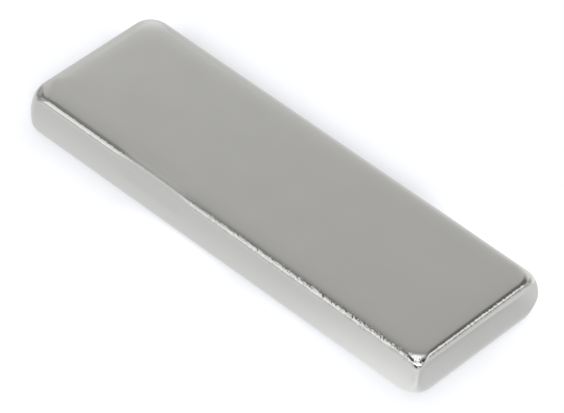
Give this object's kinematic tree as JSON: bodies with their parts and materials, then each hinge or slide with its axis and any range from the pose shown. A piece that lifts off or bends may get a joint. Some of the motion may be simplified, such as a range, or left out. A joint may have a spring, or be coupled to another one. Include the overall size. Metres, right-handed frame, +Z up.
{
  "type": "block magnet",
  "caption": "Rectangular bar magnet with a bright nickel plate, flat pole faces, tumbled edges and worn corners.",
  "frame": {"origin": "middle of the lower pole face, the face the magnet rests on", "axes": "+X along the bar's length, +Y across its width, +Z up through its thickness, from the lower pole face to the upper one"},
  "size_m": [0.03, 0.01, 0.003],
  "materials": {
    "nickel_plate": "bright nickel plate, smooth and slightly soft in its reflections, worn round at the edges"
  },
  "bodies": {
    "root": {"magnet_block": "nickel_plate"}
  },
  "joints": []
}
